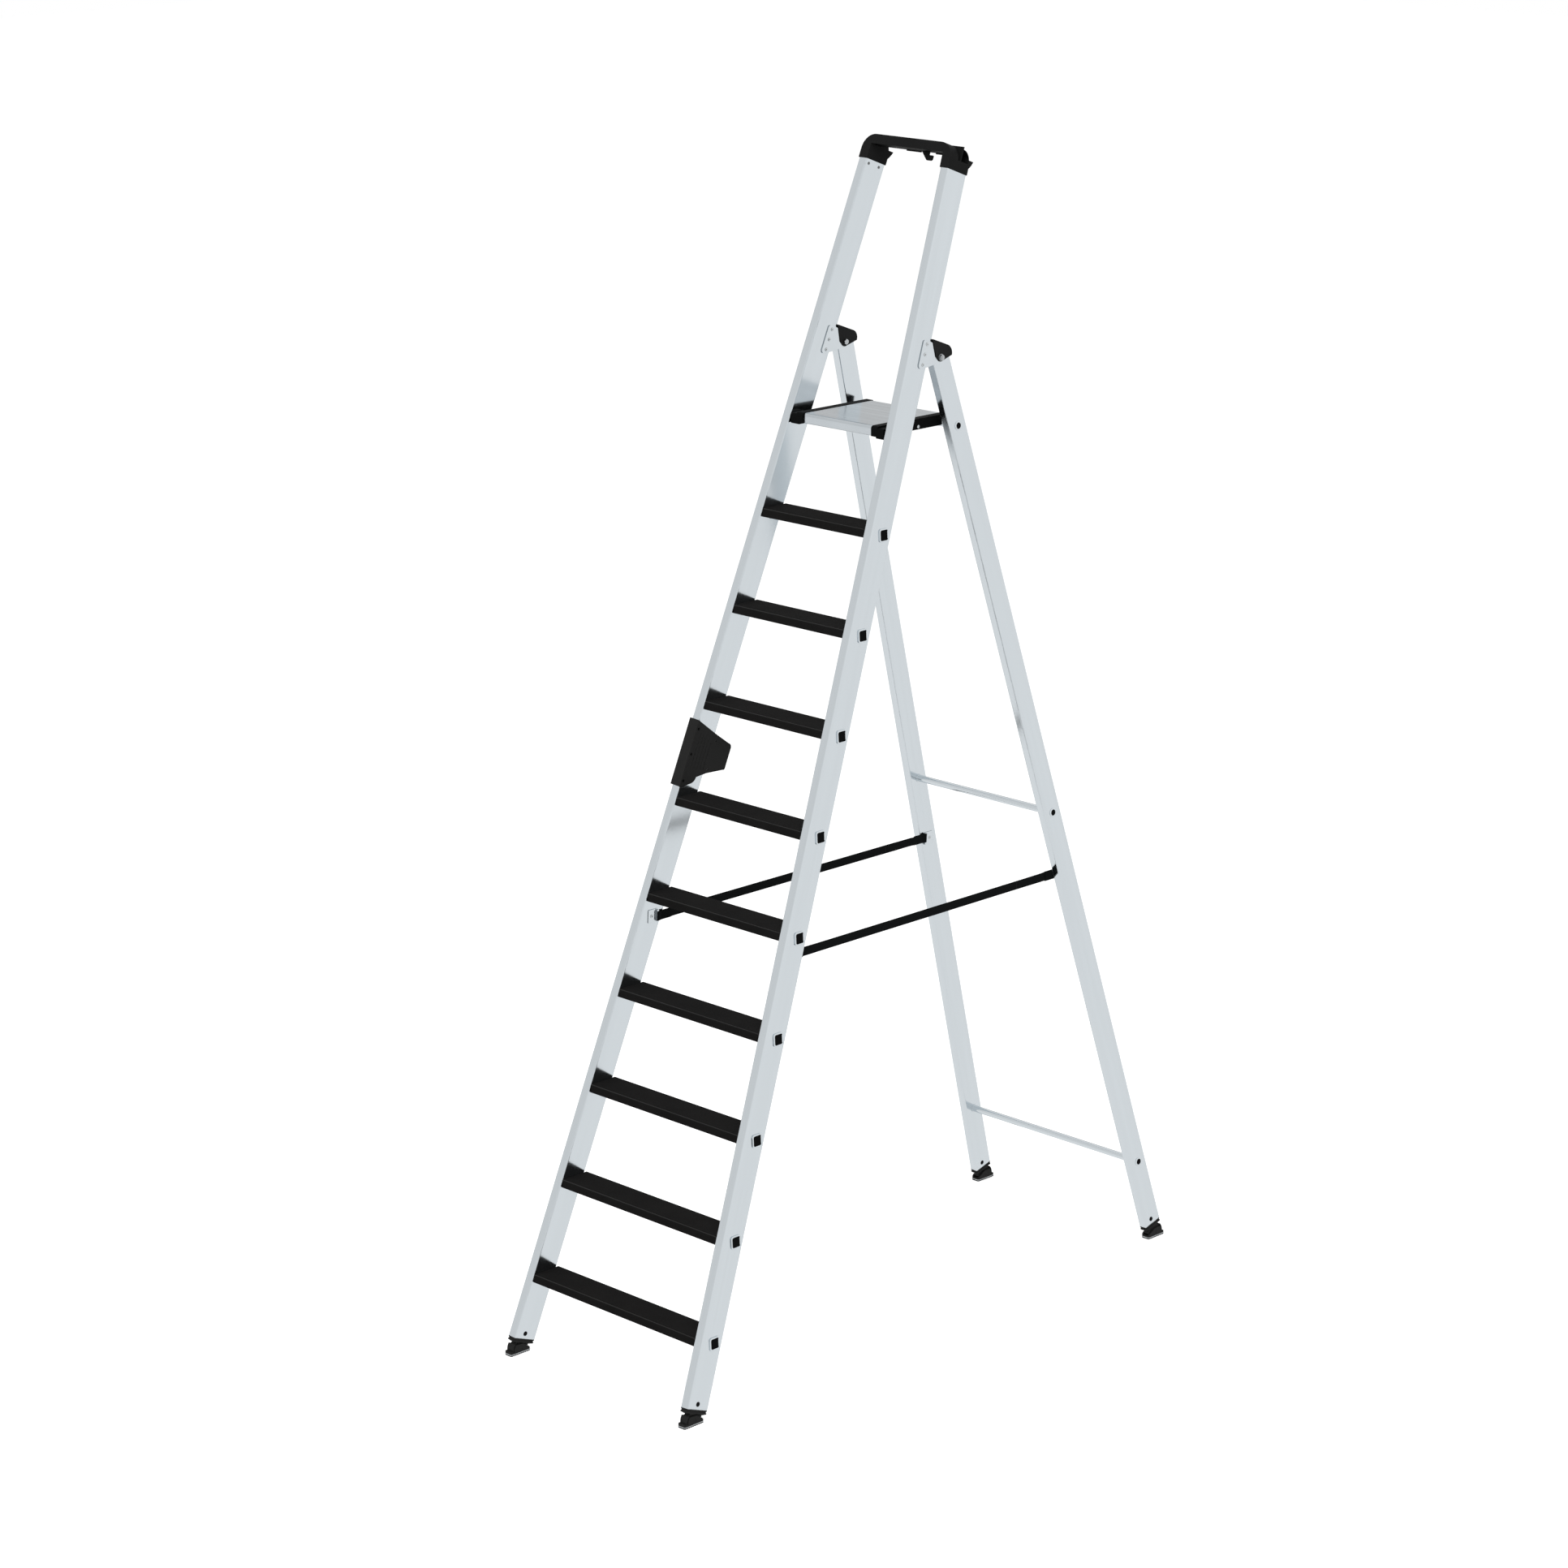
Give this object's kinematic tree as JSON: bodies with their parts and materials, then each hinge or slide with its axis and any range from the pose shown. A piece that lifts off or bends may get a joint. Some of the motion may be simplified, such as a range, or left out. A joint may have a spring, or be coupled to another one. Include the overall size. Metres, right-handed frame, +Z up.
{
  "type": "step ladder",
  "caption": "One-sided aluminium platform step ladder with black treads, a handrail cap, a folding rear frame on straps and tilting feet.",
  "frame": {"origin": "on the floor below the middle of the standing ladder's bounding box", "axes": "+Z up, +X to the right side of the ladder, +Y from the climbing side to the rear frame"},
  "size_m": [0.6536, 1.8032, 2.9827],
  "materials": {
    "aluminium": "extruded, satin",
    "deck_aluminium": "ribbed extrusion, brushed",
    "rivet_aluminium": "bright",
    "steel": "zinc plated",
    "black_plastic": "moulded, fine grain",
    "webbing": "woven webbing",
    "nylon": "natural nylon",
    "rubber": "ribbed rubber on a pale carrier"
  },
  "bodies": {
    "front_frame": {"left_front_stile": "aluminium", "right_front_stile": "aluminium", "step_1": "aluminium", "step_2": "aluminium", "step_3": "aluminium", "step_4": "aluminium", "step_5": "aluminium", "step_6": "aluminium", "step_7": "aluminium", "step_8": "aluminium", "step_9": "aluminium", "tread_1": "black_plastic", "tread_2": "black_plastic", "tread_3": "black_plastic", "tread_4": "black_plastic", "tread_5": "black_plastic", "tread_6": "black_plastic", "tread_7": "black_plastic", "tread_8": "black_plastic", "tread_9": "black_plastic", "top_tray": "black_plastic", "top_tray_screws": "steel", "left_hinge_plates": "steel", "right_hinge_plates": "steel", "front_frame_rivets": "rivet_aluminium", "hinge_bolts": "steel", "left_hinge_cover": "black_plastic", "right_hinge_cover": "black_plastic", "grip_pad": "black_plastic", "grip_pad_screws": "steel", "front_strap_clips": "steel", "left_front_foot_plug": "black_plastic", "right_front_foot_plug": "black_plastic", "platform_pivot_pins": "steel", "front_foot_pins": "steel", "left_strap": "webbing", "right_strap": "webbing"},
    "rear_frame": {"left_rear_stile": "aluminium", "right_rear_stile": "aluminium", "platform_support_tube": "aluminium", "upper_rear_tube": "aluminium", "lower_rear_tube": "aluminium", "hinge_bushes": "nylon", "rear_strap_clips": "steel", "rear_strap_rivets": "rivet_aluminium", "left_rear_foot_plug": "black_plastic", "right_rear_foot_plug": "black_plastic", "rear_foot_pins": "steel"},
    "platform": {"platform_deck": "deck_aluminium", "left_platform_rail": "black_plastic", "right_platform_rail": "black_plastic", "platform_rivets": "rivet_aluminium"},
    "front_foot_left": {"left_front_shoe": "black_plastic", "left_front_sole": "rubber"},
    "front_foot_right": {"right_front_shoe": "black_plastic", "right_front_sole": "rubber"},
    "rear_foot_left": {"left_rear_shoe": "black_plastic", "left_rear_sole": "rubber"},
    "rear_foot_right": {"right_rear_shoe": "black_plastic", "right_rear_sole": "rubber"}
  },
  "joints": [
    {"name": "rear_fold", "type": "hinge", "parent": "front_frame", "child": "rear_frame", "pos_m": [0, 0.13183, 2.46909], "axis": [-1, 0, 0], "range_deg": [0, 36.9], "deforming": ["left_strap", "right_strap"]},
    {"name": "platform_fold", "type": "hinge", "parent": "front_frame", "child": "platform", "pos_m": [0, -0.02231, 2.29798], "axis": [1, 0, 0], "range_deg": [0, 70]},
    {"name": "foot_front_left", "type": "hinge", "parent": "front_frame", "child": "front_foot_left", "pos_m": [-0.31394, -0.8652, 0.013], "axis": [1, 0, 0], "range_deg": [-10, 10]},
    {"name": "foot_front_right", "type": "hinge", "parent": "front_frame", "child": "front_foot_right", "pos_m": [0.31394, -0.8652, 0.013], "axis": [1, 0, 0], "range_deg": [-10, 10]},
    {"name": "foot_rear_left", "type": "hinge", "parent": "rear_frame", "child": "rear_foot_left", "pos_m": [-0.30923, 0.8652, 0.013], "axis": [1, 0, 0], "range_deg": [-10, 10]},
    {"name": "foot_rear_right", "type": "hinge", "parent": "rear_frame", "child": "rear_foot_right", "pos_m": [0.30923, 0.8652, 0.013], "axis": [1, 0, 0], "range_deg": [-10, 10]}
  ],
  "couplings": [
    {"joint": "platform_fold", "follows": "rear_fold", "ratio": 1.88}
  ]
}
